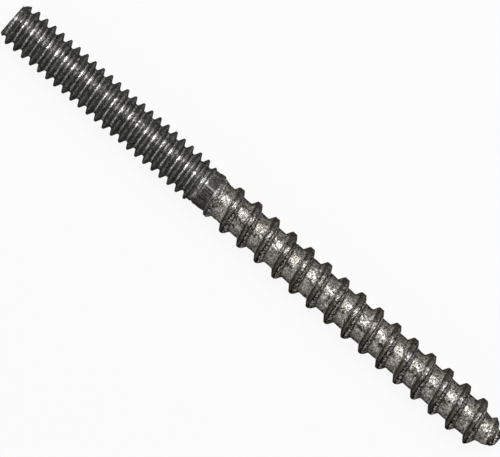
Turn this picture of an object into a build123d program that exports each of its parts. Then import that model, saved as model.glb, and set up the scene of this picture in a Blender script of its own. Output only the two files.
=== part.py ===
from build123d import *
from math import atan, cos, degrees, radians, tan
import os

# A steel hanger bolt, rolled from one rod: a machine thread, a short plain neck and a coarse lag thread
# with a blunt point. It lies along X on the floor plane, with the machine end at -X and the point at +X.
# The origin is on the floor below the middle of the bolt. Distances along the bolt start at the flat end.

overall_length = 63.5

# Machine thread, held at the diameter of its crests, with a chamfered flat end
machine_thread_length = 24.7
machine_crest_diameter = 4.66
machine_end_diameter = 3.5
machine_chamfer_length = 0.9
machine_runout_length = 0.6

# Plain neck, the part of the rod that neither thread covers
neck_diameter = 4.0
neck_length = 0.6
neck_taper_length = 1.9

# Lag thread, one right-hand ridge wound on a slimmer core
lag_pitch = 2.272
lag_crest_diameter = 4.84
lag_root_diameter = 3.54
lag_crest_width = 0.3
lag_flank_angle = 33
lag_first_crest = 1.16
lag_start_height = 0.02
lag_run_in_length = 4.0
lag_full_setback = 1.1
lag_full_stretches = 7

# Point: the core runs to a blunt end, and the ridge dies away on it
point_length = 3.0
point_end_diameter = 1.6
point_end_chamfer = 0.3
point_shoulder_share = 0.2
point_ridge_share = 0.65
point_shoulder_drop = 0.04
point_ridge_drop = 0.92

# How far the foot of the ridge reaches into the metal, along the core and on the point
core_rooting = 0.1
point_rooting = 0.45

# Turns from the top to the line where the turned surfaces close, clear of the ridge's ends
seam_turns = 0.12

machine_crest_radius = machine_crest_diameter / 2
neck_radius = neck_diameter / 2
lag_crest_radius = lag_crest_diameter / 2
lag_root_radius = lag_root_diameter / 2

machine_end_x = -overall_length / 2
axis_height = lag_crest_radius
bolt_axis = Axis((machine_end_x, 0, axis_height), (1, 0, 0))

neck_start = machine_thread_length + machine_runout_length
neck_end = neck_start + neck_length
lag_core_start = neck_end + neck_taper_length
lag_full_start = neck_start + lag_run_in_length
point_start = overall_length - point_length
lag_full_end = point_start - lag_full_setback
lag_shoulder_end = point_start + point_shoulder_share * point_length
lag_ridge_end = point_start + point_ridge_share * point_length
stretch_length = (lag_full_end - lag_full_start) / lag_full_stretches


def axial_plane(distance, turns):
    """The plane through the bolt's axis, with x along the bolt and y outward, so many turns from the top."""
    top_plane = Plane(origin=(machine_end_x + distance, 0, axis_height), x_dir=(1, 0, 0), z_dir=(0, -1, 0))
    return top_plane.rotated((360 * turns, 0, 0))


def lag_ridge(start, end, start_radius, end_radius, rooting):
    """A stretch of the lag ridge between two distances, with its crest going from one radius to another."""
    section_plane = axial_plane(start, (start - neck_start - lag_first_crest) / lag_pitch)
    helix_plane = Plane(section_plane.origin, x_dir=section_plane.y_dir, z_dir=section_plane.x_dir)
    slant = atan((end_radius - start_radius) / (end - start))
    path = helix_plane * Helix(
        pitch=lag_pitch / cos(slant),
        height=end - start,
        radius=start_radius,
        cone_angle=degrees(slant),
        mode=Mode.PRIVATE,
    )
    depth = lag_crest_radius - lag_root_radius + rooting
    half_crest = lag_crest_width / 2
    half_foot = half_crest + depth * tan(radians(lag_flank_angle))
    with BuildSketch(section_plane) as section:
        with BuildLine():
            Polyline(
                (-half_crest, start_radius),
                (half_crest, start_radius),
                (half_foot, start_radius - depth),
                (-half_foot, start_radius - depth),
                close=True,
            )
        make_face()
    sweep(sections=section.sketch, path=path, is_frenet=True)


with BuildPart() as hanger_bolt:
    # The rod with its machine end, neck, lag core and point, turned about the bolt's axis
    with BuildSketch(axial_plane(0, seam_turns)):
        with BuildLine():
            Polyline(
                (0, 0),
                (0, machine_end_diameter / 2),
                (machine_chamfer_length, machine_crest_radius),
                (machine_thread_length, machine_crest_radius),
                (neck_start, neck_radius),
                (neck_end, neck_radius),
                (lag_core_start, lag_root_radius),
                (point_start, lag_root_radius),
                (overall_length, point_end_diameter / 2),
                (overall_length, 0),
                close=True,
            )
        make_face()
    revolve(axis=bolt_axis)
    chamfer(hanger_bolt.edges().group_by(Axis.X)[-1], point_end_chamfer)

    # The ridge at full height along the core, in equal stretches
    for stretch in range(lag_full_stretches):
        stretch_start = lag_full_start + stretch * stretch_length
        lag_ridge(stretch_start, stretch_start + stretch_length, lag_crest_radius, lag_crest_radius, core_rooting)

    # Its run-in, growing out of the neck
    lag_ridge(neck_start, lag_full_start, neck_radius + lag_start_height, lag_crest_radius, core_rooting)

    # Its shoulder, reaching over the start of the point, and its fade along the point
    shoulder_radius = lag_crest_radius - point_shoulder_drop
    ridge_end_radius = lag_crest_radius - point_ridge_drop
    lag_ridge(lag_full_end, lag_shoulder_end, lag_crest_radius, shoulder_radius, point_rooting)
    lag_ridge(lag_shoulder_end, lag_ridge_end, shoulder_radius, ridge_end_radius, point_rooting)

os.makedirs("parts", exist_ok=True)
hanger_bolt.part.label = "hanger_bolt"
export_step(hanger_bolt.part, "parts/hanger_bolt.step")
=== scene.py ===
import math
import zlib

import bpy
import numpy as np
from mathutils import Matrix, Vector


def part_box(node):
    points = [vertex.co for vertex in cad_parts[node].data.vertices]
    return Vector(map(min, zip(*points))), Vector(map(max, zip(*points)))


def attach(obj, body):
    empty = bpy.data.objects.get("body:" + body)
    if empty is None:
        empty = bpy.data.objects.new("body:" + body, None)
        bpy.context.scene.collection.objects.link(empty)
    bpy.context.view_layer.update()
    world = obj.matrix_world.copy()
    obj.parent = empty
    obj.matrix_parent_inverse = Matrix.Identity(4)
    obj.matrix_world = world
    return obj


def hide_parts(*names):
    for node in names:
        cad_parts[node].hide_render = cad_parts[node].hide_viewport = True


# The hanger bolt as one closed mesh in place of the plain solid. Its rows of vertices run along its threads.
# Sizes are in millimetres unless they say otherwise. Distances along the bolt start at its flat machine end,
# turns at the top, and offsets at the middle of a thread's crest, or for the lip and the strip at the fold.

MM = 0.001
INCH = 25.4
NODE = "hanger_bolt"

# Machine thread and its chamfered end
MACHINE_PITCH = INCH / 24
MACHINE_CREST_RADIUS = 2.33
MACHINE_ROOT_RADIUS = 1.72
MACHINE_CREST_HALF = 0.1
MACHINE_FOOT = 0.43
MACHINE_FLANK_ANGLE = math.radians(26.5)
MACHINE_ROOT_FILLET = 0.12
MACHINE_CREST_ROUNDING = 0.07
MACHINE_FIRST_CREST = 0.811
MACHINE_ROOT_END = 24.4
MACHINE_FADE_START = 24.3
MACHINE_FADE_END = 25.8
MACHINE_FADE_DEPTH = 0.1
END_RADIUS = 1.75
END_CHAMFER = 0.9

# Plain neck
NECK_RADIUS = 2.0
NECK_START = 25.2
NECK_END = 26.1

# Lag thread, with the fold that rolling left behind its crest, and the fold's lip
LAG_PITCH = 2.272
LAG_CREST_RADIUS = 2.42
LAG_ROOT_RADIUS = 1.77
LAG_CREST_HALF = 0.21
LAG_CREST_SWAY = 0.05
LAG_FRONT_REACH = 0.61
LAG_BACK_REACH = 0.6
LAG_FRONT_FOOT = 0.69
LAG_BACK_FOOT = 0.68
LAG_FILLET = 0.12
LAG_CREST_ROUNDING = 0.06
LAG_FIRST_CREST = 26.46
LAG_RIDGE_START = 25.3
LAG_START_RADIUS = 2.08
LAG_FULL_START = 29.3
LAG_CORE_START = 27.2
FOLD_MIDDLE = 0.215
FOLD_SWAY = 0.07
FOLD_HALF = 0.075
FOLD_DEPTH = 0.09
FOLD_START = 26.9
FOLD_FULL = 28.3
FOLD_EVEN_SHARE = 0.65
FOLD_BROKEN_SHARE = 0.35
FOLD_BREAKS_PER_TURN = 16
LIP_OFFSET = 0.17
LIP_HALF = 0.1
LIP_HEIGHT = 0.05

# Point
POINT_START = 60.4
POINT_CHEEK = 60.9
POINT_CHEEK_RADIUS = 1.52
POINT_WAIST = 62.4
POINT_WAIST_RADIUS = 1.22
POINT_END_RADIUS = 0.72
POINT_SHOULDER = 61.1
POINT_SHOULDER_DROP = 0.04
POINT_RIDGE_LOW = 62.8
POINT_RIDGE_RADIUS = 1.26
POINT_RIDGE_END = 63.2
POINT_ROUNDING = 0.35
POINT_ROUNDING_SHARE = 0.75

# Columns of vertices around the bolt, the rows in each stretch of a pitch and the crests that have them,
# the step between rows elsewhere, and the rings on an end face as shares of its radius
COLUMNS = 96
MACHINE_ROWS = [2, 5, 3, 5, 2]
MACHINE_ROW_CRESTS = range(2, 22)
LAG_ROWS = [3, 7, 5, 7, 7, 3]
LAG_ROW_CRESTS = range(1, 15)
FOLD_ROWS_HALF = 1.5 * FOLD_HALF
FINE_STEP = 0.05
FACE_RINGS = (0.45, 0.8)
SAME_PLACE = 1e-6

# Unevenness: the rows of the noise's lattice, depths, and cells along the bolt or around it
NOISE_ROWS = 997
CREST_WEAR = 0.04
WEAR_PER_TURN = 8
WANDER = 0.05
COARSE_CELL = 0.45
FINE_CELL = 0.2
FINE_SHARE = 0.6
MACHINE_ROUGH = 0.006
LAG_ROUGH = 0.028
DRAWN_LINES = 40
DRAWN_DEPTH = 0.025
RAGGED_CELL = 0.3
RAGGED_CELLS_AROUND = 9
RAGGED_DEPTH = 0.05

# Where the lag thread's colour begins at the top, its lean in a turn, and half the width of a colour border
LAG_BORDER = 26.36
BORDER_LEAN = 0.7
BORDER_HALF = 0.1

# The machine end's rim: outside this radius its colour is a flank's at this height, fading over this width
RIM_RADIUS = 1.6
RIM_WIDTH = 0.3
RIM_HEIGHT = 0.8

# Lines along the lag ridge, all painted shade: the black fold in its crease, the dark strip on the back flank
# behind its lip, and the dark front of the crest on the front flank
FOLD_SHADE_HALF = 0.16
FOLD_SHADE_FADE = 0.25
STRIP_OFFSET = 0.36
STRIP_HALF = 0.11
FRONT_SHADE_OFFSET = -0.2
FRONT_SHADE_HALF = 0.16

# Front flanks: up to what height the lag thread's count as root, and both threads' feet near the top,
# lightened as a painted highlight
FRONT_BARE = 0.28
BRIGHT_OFFSET = -0.52
BRIGHT_HALF = 0.2
BRIGHT_TURNS = [-0.2, -0.06, 0.1, 0.25]
BRIGHT_LEAST = 0.15
MACHINE_BRIGHT_OFFSET = -0.36
MACHINE_BRIGHT_HALF = 0.13
MACHINE_BRIGHT_TURN = -0.055
MACHINE_BRIGHT_TURN_HALF = 0.07

# The rubbed line along the top, partly worn metal and partly painted highlight where the key lamp's
# reflection falls:
# its place and width in turns, and how much the flanks and crests are lightened there
RUBBED_HIGHLIGHT_TURN = -0.035
RUBBED_HIGHLIGHT_HALF = 0.054
RUBBED_HIGHLIGHT_LOW = 0.15
RUBBED_HIGHLIGHT_FULL = 0.4
MACHINE_RUBBED_HIGHLIGHT = 1.0
MACHINE_LESS_RUBBED_HIGHLIGHT = 0.4
LAG_LESS_RUBBED_HIGHLIGHT = 0.15
CREST_WORN_HIGHLIGHT = 0.15
WORN_HIGHLIGHT_HALF = 0.15
WORN_HIGHLIGHT_LOW = 0.8
WORN_HIGHLIGHT_FULL = 0.95

# In turns too: pits in the lag thread's roots, the painted highlight on the point's cheek, the lag thread's
# flecks, whose painted sparkle is strongest along the top, and how much of them is left all round, and the
# neck's painted highlight line
SCUFF_TURN = 0.025
SCUFF_HALF = 0.045
CHEEK_HIGHLIGHT_HALF = 0.1
FLECK_SPARKLE_HALF = 0.15
FLECKED_LEAST = 0.3
HIGHLIGHT_LINE_TURN = -2 / COLUMNS
HIGHLIGHT_LINE_HALF = 1 / COLUMNS


def smooth_max(a, b, width):
    """The larger of two heights, with a fillet of about this width where they cross."""
    share = np.clip(0.5 + 0.5 * (a - b) / width, 0, 1)
    return a * share + b * (1 - share) + width * share * (1 - share)


def smooth_min(a, b, width):
    """The smaller of two heights, with a rounding of about this width where they cross."""
    return -smooth_max(-a, -b, width)


def bell(distance, half):
    """One in the middle of a bump or groove, falling smoothly to zero at its edges."""
    share = np.clip(1 - np.abs(distance) / half, 0, 1)
    return share * share * (3 - 2 * share)


def share_between(value, low, high):
    """Zero up to the low value, one from the high value on, and even in between."""
    return np.clip((value - low) / (high - low), 0, 1)


def lattice_noise(name, along, around=0, cells_around=1):
    """Smooth noise from -1 to 1, its own for each name, on a lattice that closes after so many cells."""
    table = np.random.RandomState(zlib.crc32(name.encode())).uniform(-1, 1, (NOISE_ROWS, cells_around))
    around = around + 0 * along
    row, column = np.floor(along).astype(int), np.floor(around).astype(int)
    s, t = along - row, around - column
    s, t = s * s * (3 - 2 * s), t * t * (3 - 2 * t)
    corner = [[table[(row + i) % NOISE_ROWS, (column + j) % cells_around] for j in (0, 1)] for i in (0, 1)]
    low, high = (pair[0] * (1 - t) + pair[1] * t for pair in corner)
    return low * (1 - s) + high * s


def winding(x, turn, first_crest, pitch):
    """Offset along the bolt from the nearest crest of a thread, and how many turns along it that crest is."""
    phase = (x - first_crest) / pitch - turn
    nearest = np.round(phase)
    return (phase - nearest) * pitch, nearest + turn


def core_radius(x, length):
    """The rod under the threads: machine root, neck, lag root and point."""
    outline = [
        (MACHINE_ROOT_END, MACHINE_ROOT_RADIUS),
        (NECK_START, NECK_RADIUS),
        (NECK_END, NECK_RADIUS),
        (LAG_CORE_START, LAG_ROOT_RADIUS),
        (POINT_START, LAG_ROOT_RADIUS),
        (POINT_CHEEK, POINT_CHEEK_RADIUS),
        (POINT_WAIST, POINT_WAIST_RADIUS),
        (length, POINT_END_RADIUS),
    ]
    return np.interp(x, *zip(*outline))


def machine_ridge(x, turn):
    """The machine thread's outline: narrow worn crests and straight flanks, fading into the neck."""
    offset, place = winding(x, turn, MACHINE_FIRST_CREST, MACHINE_PITCH)
    faded_radius = NECK_RADIUS - MACHINE_FADE_DEPTH
    crest = np.interp(x, [MACHINE_FADE_START, MACHINE_FADE_END], [MACHINE_CREST_RADIUS, faded_radius])
    crest = crest - CREST_WEAR * np.abs(lattice_noise("machine crest", place * WEAR_PER_TURN))
    flank = crest - (np.abs(offset) - MACHINE_CREST_HALF) / math.tan(MACHINE_FLANK_ANGLE)
    ridge = smooth_min(crest, flank, MACHINE_CREST_ROUNDING)
    return np.where(x < MACHINE_FADE_END, ridge, 0)


def fold_offset(turn):
    """Where the rolled fold runs behind the middle of the lag crest: it sways a little, once a turn."""
    return FOLD_MIDDLE - FOLD_SWAY * np.sin(math.tau * turn)


def fold_growth(x):
    """How far the fold has opened: not yet beside the neck, and fully along the thread."""
    return np.interp(x, [FOLD_START, FOLD_FULL], [0, 1])


def lag_ridge(x, turn):
    """The lag thread's outline: a ridge from neck to point, with a fold and its lip behind the crest."""
    offset, place = winding(x, turn, LAG_FIRST_CREST, LAG_PITCH)
    outline = [
        (LAG_RIDGE_START, LAG_START_RADIUS),
        (LAG_FULL_START, LAG_CREST_RADIUS),
        (POINT_START, LAG_CREST_RADIUS),
        (POINT_SHOULDER, LAG_CREST_RADIUS - POINT_SHOULDER_DROP),
        (POINT_RIDGE_LOW, POINT_RIDGE_RADIUS),
        (POINT_RIDGE_END, 0),
    ]
    crest = np.interp(x, *zip(*outline))
    crest = crest - CREST_WEAR * np.abs(lattice_noise("lag crest", place * WEAR_PER_TURN))
    half = LAG_CREST_HALF - LAG_CREST_SWAY * np.sin(math.tau * turn)
    depth = LAG_CREST_RADIUS - LAG_ROOT_RADIUS
    front = crest - depth * (-offset - half) / (LAG_FRONT_REACH - half)
    back = crest - depth * (offset - half) / (LAG_BACK_REACH - half)
    ridge = smooth_min(smooth_min(front, back, LAG_CREST_ROUNDING), crest, LAG_CREST_ROUNDING)
    from_fold = offset - fold_offset(turn)
    broken = FOLD_EVEN_SHARE + FOLD_BROKEN_SHARE * lattice_noise("fold", place * FOLD_BREAKS_PER_TURN)
    ridge = ridge - FOLD_DEPTH * fold_growth(x) * broken * bell(from_fold, FOLD_HALF)
    ridge = ridge + LIP_HEIGHT * broken * bell(from_fold - LIP_OFFSET, LIP_HALF)
    return np.where(x > LAG_RIDGE_START - LAG_PITCH / 2, ridge, 0)


def surface_radius(x, turn, length):
    """The bolt's radius at each distance and turn, with its rolled-in unevenness."""
    core = core_radius(x, length)
    around = math.tau * LAG_ROOT_RADIUS
    coarse, fine = round(around / COARSE_CELL), round(around / FINE_CELL)
    mottled = lattice_noise("coarse", x / COARSE_CELL, turn * coarse, coarse)
    mottled = mottled + FINE_SHARE * lattice_noise("fine", x / FINE_CELL, turn * fine, fine)
    core = core + mottled * np.interp(x, [NECK_END, LAG_CORE_START], [MACHINE_ROUGH, LAG_ROUGH])
    drawn = lattice_noise("drawn", 0 * x, turn * DRAWN_LINES, DRAWN_LINES)
    on_neck = np.interp(x, [MACHINE_ROOT_END, NECK_START, NECK_END, LAG_CORE_START], [0, 1, 1, 0])
    core = core + DRAWN_DEPTH * drawn * on_neck
    radius = smooth_max(core, machine_ridge(x, turn), MACHINE_ROOT_FILLET)
    radius = smooth_max(radius, lag_ridge(x, turn), LAG_FILLET)
    chamfer = END_RADIUS + (MACHINE_CREST_RADIUS - END_RADIUS) * x / END_CHAMFER
    radius = smooth_min(radius, chamfer, MACHINE_CREST_ROUNDING)
    ragged = lattice_noise("ragged", x / RAGGED_CELL, turn * RAGGED_CELLS_AROUND, RAGGED_CELLS_AROUND)
    radius = radius + ragged * np.interp(x, [POINT_SHOULDER, length], [0, RAGGED_DEPTH])
    limit = np.interp(x, [MACHINE_FADE_END, LAG_FULL_START], [MACHINE_CREST_RADIUS, LAG_CREST_RADIUS])
    radius = np.minimum(radius, limit)
    rounding = np.clip((x - (length - POINT_ROUNDING)) / POINT_ROUNDING, 0, 1)
    return radius * np.sqrt(1 - POINT_ROUNDING_SHARE * rounding**2)


def spaced(stations, counts):
    """So many even steps in each stretch between stations, without the last station."""
    stretches = zip(stations[:-1], stations[1:], counts)
    return np.concatenate([np.linspace(a, b, count, endpoint=False) for a, b, count in stretches])


def row_places(length):
    """Each row's distance along the bolt at the top, its lean in a turn, and how far it follows the fold."""
    half = MACHINE_PITCH / 2
    stations = [-half, -MACHINE_FOOT, -MACHINE_CREST_HALF, MACHINE_CREST_HALF, MACHINE_FOOT, half]
    machine = spaced(stations, MACHINE_ROWS)
    half = LAG_PITCH / 2
    fold_start, fold_end = FOLD_MIDDLE - FOLD_ROWS_HALF, FOLD_MIDDLE + FOLD_ROWS_HALF
    stations = [-half, -LAG_FRONT_FOOT, -LAG_CREST_HALF, fold_start, fold_end, LAG_BACK_FOOT, half]
    lag = spaced(stations, LAG_ROWS)

    machine_crests = MACHINE_FIRST_CREST + MACHINE_PITCH * np.array(MACHINE_ROW_CRESTS)
    lag_crests = LAG_FIRST_CREST + LAG_PITCH * np.array(LAG_ROW_CRESTS)
    machine_rows = (machine_crests[:, None] + machine).ravel()
    lag_rows = (lag_crests[:, None] + lag).ravel()
    gaps = [(0, machine_rows[0]), (machine_rows[-1], lag_rows[0]), (lag_rows[-1], length)]
    fine = [np.linspace(a, b, int((b - a) / FINE_STEP) + 2)[1:-1] for a, b in gaps]
    rows = np.concatenate([[0], fine[0], machine_rows, fine[1], lag_rows, fine[2], [length]])

    lean = np.interp(
        rows,
        [0, machine_rows[0], machine_rows[-1], lag_rows[0], lag_rows[-1], length],
        [0, MACHINE_PITCH, MACHINE_PITCH, LAG_PITCH, LAG_PITCH, 0],
    )
    beside_fold = np.clip(1 - np.abs(lag - FOLD_MIDDLE) / (half - FOLD_MIDDLE), 0, 1)
    follow = np.tile(beside_fold, len(lag_crests))
    before = 1 + len(fine[0]) + len(machine_rows) + len(fine[1])
    follow = np.pad(follow, (before, len(fine[2]) + 1))
    return rows, lean, follow


def vertex(row, column):
    """The number of the vertex in this row and column."""
    return row * COLUMNS + column


def seam_faces(x, lean):
    """Joins the last column to the first, whose rows lie at other distances, by stepping along both."""
    last = x[:, -1] + lean / COLUMNS
    first = x[:, 0]
    edge = COLUMNS - 1
    i = j = 0
    faces = []
    while i < len(last) - 1 or j < len(first) - 1:
        next_last = last[i + 1] if i < len(last) - 1 else math.inf
        next_first = first[j + 1] if j < len(first) - 1 else math.inf
        if abs(next_last - next_first) < SAME_PLACE:
            faces.append((vertex(i, edge), vertex(j, 0), vertex(j + 1, 0), vertex(i + 1, edge)))
            i, j = i + 1, j + 1
        elif next_last < next_first:
            faces.append((vertex(i, edge), vertex(j, 0), vertex(i + 1, edge)))
            i += 1
        else:
            faces.append((vertex(i, edge), vertex(j, 0), vertex(j + 1, 0)))
            j += 1
    return faces


def surface_marks(x, radius, turn, length):
    """Where the steel's colours, lines and spots lie, painted highlights and shade among them: a number for
    each vertex, under each name.
    """
    offset, _ = winding(x, turn, LAG_FIRST_CREST, LAG_PITCH)
    machine_offset, _ = winding(x, turn, MACHINE_FIRST_CREST, MACHINE_PITCH)
    from_fold = offset - fold_offset(turn)
    from_rubbed_highlight = turn - RUBBED_HIGHLIGHT_TURN
    past_border = x - LAG_BORDER - BORDER_LEAN * turn
    lag = np.interp(past_border, [-BORDER_HALF, BORDER_HALF], [0, 1])
    neck = np.interp(x, [NECK_START - BORDER_HALF, NECK_START + BORDER_HALF], [0, 1]) * (1 - lag)
    cheek_highlight = np.interp(x, [POINT_START, POINT_CHEEK, POINT_WAIST, POINT_RIDGE_LOW], [0, 1, 1, 0])
    # Painted shade in the fold: full on the side away from the key lamp, fading towards the lit side
    fold_shading = 1 - FOLD_SHADE_FADE * (1 - np.sin(math.tau * turn))

    # Height from root, 0, to crest, 1, where the rim is raised and the foot of the lag's front flank lowered
    thread_depth = MACHINE_CREST_RADIUS - MACHINE_ROOT_RADIUS
    height = np.clip((radius - core_radius(x, length)) / thread_depth, 0, 1)
    rim = np.interp(x, [0, RIM_WIDTH], [RIM_HEIGHT, 0])
    height = np.where(radius > RIM_RADIUS, np.maximum(height, rim), height)
    bare = np.where(offset < 0, FRONT_BARE * lag, 0)
    height = share_between(height, bare, 1)

    # Painted highlight: the front flanks' feet are lightened near the top, where the key lamp's reflection
    # falls
    foot_highlight = bell(offset - BRIGHT_OFFSET, BRIGHT_HALF) * fold_growth(x) * lag
    foot_highlight = foot_highlight * np.interp(turn, BRIGHT_TURNS, [BRIGHT_LEAST, 1, 1, BRIGHT_LEAST])
    machine_foot_highlight = bell(machine_offset - MACHINE_BRIGHT_OFFSET, MACHINE_BRIGHT_HALF)
    machine_foot_highlight = machine_foot_highlight * bell(turn - MACHINE_BRIGHT_TURN, MACHINE_BRIGHT_TURN_HALF)
    foot_highlight = np.maximum(foot_highlight, np.where(x < MACHINE_FADE_START, machine_foot_highlight, 0))

    # Partly worn metal, partly painted highlight: flanks and crests lightened in a line along the top, under
    # the key lamp's reflection
    on_flank = share_between(height, RUBBED_HIGHLIGHT_LOW, RUBBED_HIGHLIGHT_FULL)
    on_crest = CREST_WORN_HIGHLIGHT * lag * share_between(height, WORN_HIGHLIGHT_LOW, WORN_HIGHLIGHT_FULL)
    machine_rubbed_highlight_share = MACHINE_RUBBED_HIGHLIGHT - MACHINE_LESS_RUBBED_HIGHLIGHT * on_flank
    rubbed_highlight_share = np.maximum(on_flank * (1 - LAG_LESS_RUBBED_HIGHLIGHT) * lag, machine_rubbed_highlight_share * (1 - lag))
    rubbed_highlight_share = np.maximum(rubbed_highlight_share, foot_highlight)
    rubbed_and_highlight = np.maximum(bell(from_rubbed_highlight, RUBBED_HIGHLIGHT_HALF) * rubbed_highlight_share, bell(from_rubbed_highlight, WORN_HIGHLIGHT_HALF) * on_crest)

    return {
        "height": height,
        "lag": lag,
        "neck": neck,
        "point": np.interp(x, [POINT_WAIST, POINT_WAIST + BORDER_HALF], [0, 1]),
        # Painted shade in the black fold
        "fold": bell(from_fold, FOLD_SHADE_HALF) * fold_growth(x) * lag * fold_shading,
        # Where painted glints lie on the fold's lip
        "lip": np.abs(from_fold - LIP_OFFSET),
        # Painted shade on the back flank behind the lip
        "shade_strip": np.abs(from_fold - STRIP_OFFSET),
        # Painted shade on the front of the crest
        "front": bell(offset - FRONT_SHADE_OFFSET, FRONT_SHADE_HALF) * fold_growth(x) * lag,
        "foot_highlight": foot_highlight,
        # Partly worn metal, partly painted highlight along the top
        "rubbed_and_highlight": rubbed_and_highlight,
        # Painted highlight on the point's cheek, along the top
        "cheek_highlight": bell(from_rubbed_highlight, CHEEK_HIGHLIGHT_HALF) * cheek_highlight * (1 - on_flank),
        # Flecks all round, strongest along the top as a painted sparkle of the highlight
        "flecks_and_sparkle": np.maximum(bell(from_rubbed_highlight, FLECK_SPARKLE_HALF), FLECKED_LEAST) * lag,
        "scuff": bell(turn - SCUFF_TURN, SCUFF_HALF) * lag,
        # Painted highlight line along the top of the neck
        "highlight_line": bell(turn - HIGHLIGHT_LINE_TURN, HIGHLIGHT_LINE_HALF) * neck,
    }


def bolt_mesh(name, length, middle, axis_height):
    """The closed mesh: columns along the bolt, rows that lean with the threads, and a fan on each end."""
    rows, lean, follow = row_places(length)
    turns = np.arange(COLUMNS) / COLUMNS - 0.5
    turn = np.broadcast_to(turns, (len(rows), COLUMNS))
    x = rows[:, None] + lean[:, None] * turn + follow[:, None] * (fold_offset(turn) - FOLD_MIDDLE)
    radius = surface_radius(x, turn, length)

    # The lag ridge wanders a little along the bolt
    _, lag_place = winding(x, turn, LAG_FIRST_CREST, LAG_PITCH)
    on_ridge = share_between(radius, LAG_ROOT_RADIUS, LAG_CREST_RADIUS)
    in_lag = np.interp(x, [LAG_CORE_START, LAG_FULL_START, POINT_START, POINT_SHOULDER], [0, 1, 1, 0])
    x_shown = x + WANDER * in_lag * on_ridge * lattice_noise("wander", lag_place * WEAR_PER_TURN)

    start_face = np.stack([radius[0] * ring for ring in FACE_RINGS])
    end_face = np.stack([radius[-1] * ring for ring in reversed(FACE_RINGS)])
    at_start, at_end = np.zeros_like(start_face), np.full_like(end_face, length)
    x_all = np.concatenate([at_start, x_shown, at_end])
    r_all = np.concatenate([start_face, radius, end_face])
    turn_all = np.broadcast_to(turns, x_all.shape)

    across = math.tau * turn_all
    y, z = -np.sin(across) * r_all, np.cos(across) * r_all + axis_height
    points = np.stack([x_all - length / 2 + middle, y, z], -1)
    centres = np.array([[middle - length / 2, 0, axis_height], [middle + length / 2, 0, axis_height]])
    points = np.concatenate([points.reshape(-1, 3), centres]) * MM

    end = len(x_all) - 1
    faces = []
    for i in range(end):
        for j in range(COLUMNS - 1):
            faces.append((vertex(i, j), vertex(i, j + 1), vertex(i + 1, j + 1), vertex(i + 1, j)))
    faces += seam_faces(x_all, np.pad(lean, len(FACE_RINGS)))
    first, last = len(points) - 2, len(points) - 1
    for j in range(COLUMNS):
        k = (j + 1) % COLUMNS
        faces.append((first, vertex(0, k), vertex(0, j)))
        faces.append((last, vertex(end, j), vertex(end, k)))

    mesh = bpy.data.meshes.new(name)
    mesh.from_pydata(points.tolist(), [], faces)
    mesh.validate()
    mesh.shade_smooth()
    marks = surface_marks(np.concatenate([at_start, x, at_end]), r_all, turn_all, length)
    for key, values in marks.items():
        attribute = mesh.attributes.new(key, "FLOAT", "POINT")
        attribute.data.foreach_set("value", np.append(values.ravel(), [0, 0]).astype(np.float32))
    return mesh


# Steel colours at heights from a thread's root, 0, to its crest, 1
MACHINE_COLOURS = [
    (0.0, (0.142, 0.141, 0.139)),
    (0.18, (0.104, 0.104, 0.102)),
    (0.4, (0.068, 0.068, 0.066)),
    (0.75, (0.054, 0.054, 0.052)),
    (0.92, (0.068, 0.067, 0.065)),
]
LAG_COLOURS = [
    (0.0, (0.135, 0.128, 0.116)),
    (0.22, (0.120, 0.113, 0.100)),
    (0.42, (0.050, 0.045, 0.037)),
    (0.8, (0.045, 0.040, 0.033)),
    (0.97, (0.058, 0.053, 0.045)),
]

# How bare the metal is, and how rough, at the same heights, the share of that roughness on the lag thread,
# and the heights that other places count as at least
BARENESS = [(0.0, 1.0), (0.18, 0.7), (0.4, 0.2), (0.75, 0.2), (0.92, 0.35)]
ROUGHNESS = [(0.0, 0.28), (0.18, 0.32), (0.4, 0.55), (0.75, 0.55), (0.92, 0.4)]
LAG_ROUGHNESS_SHARE = 0.95
NECK_COVER = 0.45
CHEEK_HIGHLIGHT_COVER = 0.35
FOOT_HIGHLIGHT_COVER = 0.45

# Colours of the drawn neck and the speckled point, by the value of their noise
NECK_COLOURS = [
    (0.38, (0.028, 0.026, 0.025)),
    (0.46, (0.064, 0.059, 0.056)),
    (0.57, (0.064, 0.059, 0.056)),
    (0.66, (0.092, 0.086, 0.082)),
]
POINT_COLOURS = [
    (0.42, (0.030, 0.029, 0.025)),
    (0.56, (0.060, 0.057, 0.050)),
    (0.64, (0.26, 0.25, 0.23)),
]

# Colours of lines and spots, many of them painted highlights and painted shade
HIGHLIGHT_LINE_COLOUR = (0.34, 0.33, 0.32, 1)
FOLD_SHADE_COLOUR = (0.006, 0.006, 0.006, 1)
SHADE_STRIP_COLOUR = (0.034, 0.030, 0.025, 1)
FOOT_HIGHLIGHT_COLOUR = (0.27, 0.258, 0.234, 1)
LIP_GLINT_COLOUR = (0.62, 0.60, 0.57, 1)
RUBBED_HIGHLIGHT_COLOUR = (0.52, 0.513, 0.494, 1)
CHEEK_HIGHLIGHT_COLOUR = (0.40, 0.388, 0.352, 1)

# Tint of glancing reflections
SPECULAR_TINT = (0.15, 0.15, 0.15, 1)

# Noise in the steel: cells along the bolt and across it, detail and roughness
SPECKLES = (0.2, 0.2, 4, 0.65)
BLOTS = (0.3, 0.3, 2, 0.5)
GRAIN = (0.13, 0.13, 2, 0.6)
MOTTLE = (0.43, 0.43, 5, 0.62)
ROLLED = (0.11, 0.7, 3, 0.6)
SCATTER = (1.3, 1.3, 1, 0.5)
FLAKES = (0.1, 0.4, 3, 0.65)
FLECKS = (0.17, 0.22, 2, 0.7)
DRAWN = (5.0, 0.24, 3, 0.6)
UNEVEN = (0.33, 0.33, 3, 0.6)

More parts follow.
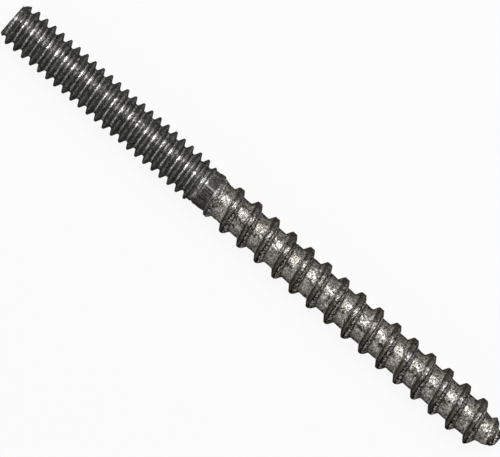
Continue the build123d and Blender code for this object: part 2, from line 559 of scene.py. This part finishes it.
# How noise and marks are spread: from the first two values to the last two
SPECKLE_RANGE = (0.3, 0.7, 0.5, 1.6)
GRAIN_RANGE = (0.35, 0.65, 0.45, 1.55)
MOTTLE_RANGE = (0.3, 0.7, 0.45, 1.6)
ROLLED_RANGE = (0.3, 0.7, 0.6, 1.45)
SCATTER_RANGE = (0.42, 0.62, 0, 0.2)
SCUFF_HEIGHTS = (0, 0.3, 1, 0)
PIT_RANGE = (0.33, 0.4, 0.2, 1.0)
FLAKE_RANGE = (0.46, 0.6, 0.08, 1.0)
FLECK_RANGE = (0.4, 0.6, 0.3, 1.9)
CHEEK_HIGHLIGHT_RANGE = (0.3, 0.5, 0.3, 1.0)
FOOT_HIGHLIGHT_RANGE = (0.1, 0.6, 0, 1)
BROKEN_RANGE = (0.35, 0.5, 0.4, 1)
FOLD_SHADE_RANGE = (0.25, 0.65, 0, 1)
LIP_RANGE = (LIP_HALF * 0.8, LIP_HALF * 2.5, 1, 0)
GLINT_RANGE = (0.51, 0.58, 0, 1)
STRIP_RANGE = (STRIP_HALF * 0.5, STRIP_HALF * 1.3, 0.75, 0)
FRONT_SHADE_RANGE = (0.2, 0.8, 0, 0.8)
FRONT_SHADE_UNDER_HIGHLIGHT_RANGE = (0, 0.6, 1, 0.4)
UNEVEN_RANGE = (0.3, 0.7, 0.8, 1.3)

# Relief of the speckles and the grain
BUMP_STRENGTH = 0.9
BUMP_HEIGHT = 0.035


def steel_material():
    """Dark rolled steel: bare and paler in the roots, oxide on the flanks, mottled, with painted highlights
    along the top and painted shade in a black fold and beside the lag ridge.
    """
    material = bpy.data.materials.new("rolled_steel")
    material.use_nodes = True
    nodes, links = material.node_tree.nodes, material.node_tree.links
    shader = nodes["Principled BSDF"]
    shader.inputs["Specular Tint"].default_value = SPECULAR_TINT
    shader.inputs["Specular IOR Level"].default_value = 0.0
    place = nodes.new("ShaderNodeTexCoord")

    def attribute(name):
        node = nodes.new("ShaderNodeAttribute")
        node.attribute_name = name
        return node.outputs["Fac"]

    def noise(along, across, detail, roughness):
        """Noise in cells so many millimetres long and wide."""
        stretch = nodes.new("ShaderNodeVectorMath")
        stretch.operation = "DIVIDE"
        stretch.inputs[1].default_value = (along * MM, across * MM, across * MM)
        links.new(place.outputs["Object"], stretch.inputs[0])
        node = nodes.new("ShaderNodeTexNoise")
        node.inputs["Scale"].default_value = 1
        node.inputs["Detail"].default_value = detail
        node.inputs["Roughness"].default_value = roughness
        links.new(stretch.outputs["Vector"], node.inputs["Vector"])
        return node.outputs["Fac"]

    def ramp(value, stops):
        node = nodes.new("ShaderNodeValToRGB")
        while len(node.color_ramp.elements) < len(stops):
            node.color_ramp.elements.new(0.5)
        for element, (position, colour) in zip(node.color_ramp.elements, stops):
            element.position = position
            element.color = (*colour, 1) if isinstance(colour, tuple) else (colour, colour, colour, 1)
        links.new(value, node.inputs["Fac"])
        return node.outputs["Color"]

    def spread(value, low, high, to_low, to_high):
        node = nodes.new("ShaderNodeMapRange")
        for name, number in zip(("From Min", "From Max", "To Min", "To Max"), (low, high, to_low, to_high)):
            node.inputs[name].default_value = number
        links.new(value, node.inputs["Value"])
        return node.outputs["Result"]

    def plug(value, socket):
        if isinstance(value, (int, float, tuple)):
            socket.default_value = value
        else:
            links.new(value, socket)

    def math_node(operation, *values):
        node = nodes.new("ShaderNodeMath")
        node.operation = operation
        for socket, value in zip(node.inputs, values):
            plug(value, socket)
        return node.outputs["Value"]

    def product(first, *others):
        for other in others:
            first = math_node("MULTIPLY", first, other)
        return first

    def mix(factor, a, b, blend="MIX"):
        node = nodes.new("ShaderNodeMix")
        node.data_type = "RGBA"
        node.blend_type = blend
        colours = [socket for socket in node.inputs if socket.type == "RGBA"]
        for socket, value in zip((node.inputs[0], *colours), (factor, a, b)):
            plug(value, socket)
        return next(socket for socket in node.outputs if socket.type == "RGBA")

    def tint(colour, detail, factor=1.0):
        return mix(factor, colour, detail, "MULTIPLY")

    height, lag, neck, point = map(attribute, ("height", "lag", "neck", "point"))
    fold, lip, shade_strip, front, foot_highlight = map(attribute, ("fold", "lip", "shade_strip", "front", "foot_highlight"))
    rubbed_and_highlight, cheek_highlight, flecks_and_sparkle = map(attribute, ("rubbed_and_highlight", "cheek_highlight", "flecks_and_sparkle"))
    scuff, highlight_line = map(attribute, ("scuff", "highlight_line"))
    speckles, blots, grain = noise(*SPECKLES), noise(*BLOTS), noise(*GRAIN)

    # The steel, with painted highlights on it: the flanks' feet, a line along the top that is partly rubbed
    # metal, and the point's cheek
    colour = mix(lag, ramp(height, MACHINE_COLOURS), ramp(height, LAG_COLOURS))
    colour = mix(point, colour, ramp(speckles, POINT_COLOURS))
    # Painted highlight on the front flanks' feet
    foot_highlight_mask = spread(foot_highlight, *FOOT_HIGHLIGHT_RANGE)
    colour = mix(foot_highlight_mask, colour, FOOT_HIGHLIGHT_COLOUR)
    # Paler flaky metal along the top: partly rubbed wear, partly painted highlight
    colour = mix(product(rubbed_and_highlight, spread(noise(*FLAKES), *FLAKE_RANGE)), colour, RUBBED_HIGHLIGHT_COLOUR)
    # Painted highlight on the point's cheek
    colour = mix(product(cheek_highlight, spread(speckles, *CHEEK_HIGHLIGHT_RANGE)), colour, CHEEK_HIGHLIGHT_COLOUR)

    # Unevenness, pits, the neck's drawn lines, flecks with a painted sparkle along the top, and the painted
    # highlight line along the neck
    mottled = spread(noise(*MOTTLE), *MOTTLE_RANGE)
    rolled = spread(noise(*ROLLED), *ROLLED_RANGE)
    scattered = product(scuff, spread(noise(*SCATTER), *SCATTER_RANGE), spread(height, *SCUFF_HEIGHTS))
    pitted = spread(math_node("SUBTRACT", blots, scattered), *PIT_RANGE)
    for detail in (mottled, rolled, pitted, spread(speckles, *SPECKLE_RANGE)):
        colour = tint(colour, detail)
    colour = mix(neck, colour, tint(ramp(noise(*DRAWN), NECK_COLOURS), mottled))
    colour = tint(colour, spread(grain, *GRAIN_RANGE))
    # Flecks, strongest along the top as a painted sparkle of the highlight
    colour = tint(colour, spread(noise(*FLECKS), *FLECK_RANGE), flecks_and_sparkle)
    # Painted highlight line along the neck
    colour = mix(highlight_line, colour, HIGHLIGHT_LINE_COLOUR)

    # Lines along the lag ridge: painted shade on the crest's front and in the strip behind the lip, painted
    # glints on the lip, and painted shade in the black fold
    broken = spread(blots, *BROKEN_RANGE)
    # Painted shade on the crest's front, weaker under the painted highlight
    in_front_shade = product(spread(front, *FRONT_SHADE_RANGE), spread(rubbed_and_highlight, *FRONT_SHADE_UNDER_HIGHLIGHT_RANGE))
    # Painted glints: pale specks on the fold's lip
    glint = product(spread(lip, *LIP_RANGE), spread(speckles, *GLINT_RANGE))
    # Painted shade in the strip behind the lip and on the crest's front
    colour = mix(product(spread(shade_strip, *STRIP_RANGE), broken, lag), colour, SHADE_STRIP_COLOUR)
    colour = mix(product(in_front_shade, broken), colour, SHADE_STRIP_COLOUR)
    colour = mix(product(glint, lag), colour, LIP_GLINT_COLOUR)
    # Painted shade: the black fold
    colour = mix(product(spread(fold, *FOLD_SHADE_RANGE), broken), colour, FOLD_SHADE_COLOUR)
    links.new(colour, shader.inputs["Base Color"])

    covered = height
    # The neck, and the painted highlights on the cheek and the feet, count as at least these heights: less
    # bare and rougher
    for mark, cover in ((neck, NECK_COVER), (cheek_highlight, CHEEK_HIGHLIGHT_COVER), (foot_highlight_mask, FOOT_HIGHLIGHT_COVER)):
        covered = math_node("MAXIMUM", covered, product(mark, cover))
    links.new(ramp(covered, BARENESS), shader.inputs["Metallic"])
    uneven = product(spread(noise(*UNEVEN), *UNEVEN_RANGE), spread(lag, 0, 1, 1, LAG_ROUGHNESS_SHARE))
    links.new(product(ramp(covered, ROUGHNESS), uneven), shader.inputs["Roughness"])

    bump = nodes.new("ShaderNodeBump")
    bump.inputs["Strength"].default_value = BUMP_STRENGTH
    bump.inputs["Distance"].default_value = BUMP_HEIGHT * MM
    links.new(math_node("ADD", speckles, grain), bump.inputs["Height"])
    links.new(bump.outputs["Normal"], shader.inputs["Normal"])
    return material


# The stage: how bright the world lights and looks, and the floor: half its width in metres, its colour and
# roughness, and how much of what the eye sees of it is plain white
AMBIENT = 0.12
WHITE = 1.0
FLOOR_HALF = 1.5
FLOOR_COLOUR = (0.6, 0.6, 0.6, 1)
FLOOR_ROUGHNESS = 0.9
FLOOR_GLOW = 0.92

# Lamps, in metres and watts
KEY_LAMP = {"direction": (-0.05, 0.41, 0.9), "distance": 0.5, "size": (0.32, 0.33), "power": 2.8}
FILL_LAMP = {"direction": (-0.1, -0.75, 0.65), "distance": 0.5, "size": (0.4, 0.3), "power": 0.4}

# Camera: the width that the image shows at this height above the floor, in millimetres and in pixels, the
# sensor, the camera's distance in metres and turn in degrees, and how many pixels the bolt's middle lies to
# the right of the image's middle and below it
FRAME_WIDTH = 49.35
FRAME_HEIGHT_ABOVE_FLOOR = 2.4
IMAGE_WIDTH = 500
SENSOR_WIDTH = 36
CAMERA_DISTANCE = 2.0
CAMERA_TURN = 41.05
MIDDLE_RIGHT = 4.9
MIDDLE_DOWN = 1.8


def seen_by_eye(nodes, links):
    """One for camera, mirror and glass rays, which show the white surroundings, and zero for the rest."""
    path = nodes.new("ShaderNodeLightPath")
    seen = path.outputs["Is Camera Ray"]
    for ray in ("Is Glossy Ray", "Is Transmission Ray"):
        either = nodes.new("ShaderNodeMath")
        either.operation = "MAXIMUM"
        links.new(seen, either.inputs[0])
        links.new(path.outputs[ray], either.inputs[1])
        seen = either.outputs["Value"]
    return seen


def white_stage(scene):
    """A pale floor under the bolt, with a light shadow, and a white world round it."""
    world = bpy.data.worlds.new("studio")
    scene.world = world
    world.use_nodes = True
    nodes, links = world.node_tree.nodes, world.node_tree.links
    strength = nodes.new("ShaderNodeMapRange")
    strength.inputs["To Min"].default_value = AMBIENT
    strength.inputs["To Max"].default_value = WHITE
    links.new(seen_by_eye(nodes, links), strength.inputs["Value"])
    background = nodes["Background"]
    background.inputs["Color"].default_value = (1, 1, 1, 1)
    links.new(strength.outputs["Result"], background.inputs["Strength"])

    half = FLOOR_HALF
    corners = [(-half, -half, 0), (half, -half, 0), (half, half, 0), (-half, half, 0)]
    floor_mesh = bpy.data.meshes.new("floor")
    floor_mesh.from_pydata(corners, [], [(0, 1, 2, 3)])
    floor = bpy.data.objects.new("floor", floor_mesh)
    scene.collection.objects.link(floor)
    material = bpy.data.materials.new("pale_floor")
    material.use_nodes = True
    nodes, links = material.node_tree.nodes, material.node_tree.links
    shader = nodes["Principled BSDF"]
    shader.inputs["Base Color"].default_value = FLOOR_COLOUR
    shader.inputs["Roughness"].default_value = FLOOR_ROUGHNESS
    shader.inputs["Specular IOR Level"].default_value = 0.0
    glow = nodes.new("ShaderNodeEmission")
    share = nodes.new("ShaderNodeMath")
    share.operation = "MULTIPLY"
    share.inputs[1].default_value = FLOOR_GLOW
    links.new(seen_by_eye(nodes, links), share.inputs[0])
    blend = nodes.new("ShaderNodeMixShader")
    links.new(share.outputs["Value"], blend.inputs["Fac"])
    links.new(shader.outputs["BSDF"], blend.inputs[1])
    links.new(glow.outputs["Emission"], blend.inputs[2])
    links.new(blend.outputs["Shader"], nodes["Material Output"].inputs["Surface"])
    floor_mesh.materials.append(material)


def softbox(scene, name, direction, distance, size, power):
    """A rectangular lamp aimed at the bolt."""
    lamp = bpy.data.lights.new(name, "AREA")
    lamp.shape = "RECTANGLE"
    lamp.size, lamp.size_y = size
    lamp.energy = power
    lamp_object = bpy.data.objects.new(name, lamp)
    away = Vector(direction).normalized()
    lamp_object.location = away * distance
    lamp_object.rotation_euler = away.to_track_quat("Z", "Y").to_euler()
    scene.collection.objects.link(lamp_object)


def photo_camera(scene, middle):
    """Straight above the bolt, turned so that it falls from the upper left to the lower right."""
    data = bpy.data.cameras.new("camera")
    camera = bpy.data.objects.new("camera", data)
    scene.collection.objects.link(camera)
    scene.camera = camera
    frame_width = FRAME_WIDTH * MM
    data.sensor_width = SENSOR_WIDTH
    data.lens = SENSOR_WIDTH * (CAMERA_DISTANCE - FRAME_HEIGHT_ABOVE_FLOOR * MM) / frame_width
    turn = math.radians(CAMERA_TURN)
    right = Vector((math.cos(turn), math.sin(turn), 0))
    up = Vector((-math.sin(turn), math.cos(turn), 0))
    pixel = frame_width / IMAGE_WIDTH
    aim = middle - right * (MIDDLE_RIGHT * pixel) + up * (MIDDLE_DOWN * pixel)
    camera.location = aim + Vector((0, 0, CAMERA_DISTANCE))
    camera.rotation_euler = (0, 0, turn)


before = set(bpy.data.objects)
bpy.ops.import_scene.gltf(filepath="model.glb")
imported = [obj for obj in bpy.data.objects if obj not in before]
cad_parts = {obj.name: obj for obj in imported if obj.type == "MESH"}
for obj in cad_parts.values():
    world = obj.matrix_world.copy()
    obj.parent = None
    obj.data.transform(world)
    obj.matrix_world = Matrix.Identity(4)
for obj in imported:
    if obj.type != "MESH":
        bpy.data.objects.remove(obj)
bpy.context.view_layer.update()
scene = bpy.context.scene
scene.view_settings.view_transform = "Standard"

low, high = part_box(NODE)
length = (high.x - low.x) / MM
middle = (low.x + high.x) / 2 / MM
axis_height = (low.z + high.z) / 2 / MM

bolt = bpy.data.objects.new("bolt", bolt_mesh("bolt", length, middle, axis_height))
scene.collection.objects.link(bolt)
bolt.data.materials.append(steel_material())
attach(bolt, "root")
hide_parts(NODE)

white_stage(scene)
softbox(scene, "key", **KEY_LAMP)
softbox(scene, "fill", **FILL_LAMP)
photo_camera(scene, Vector((middle * MM, 0, 0)))
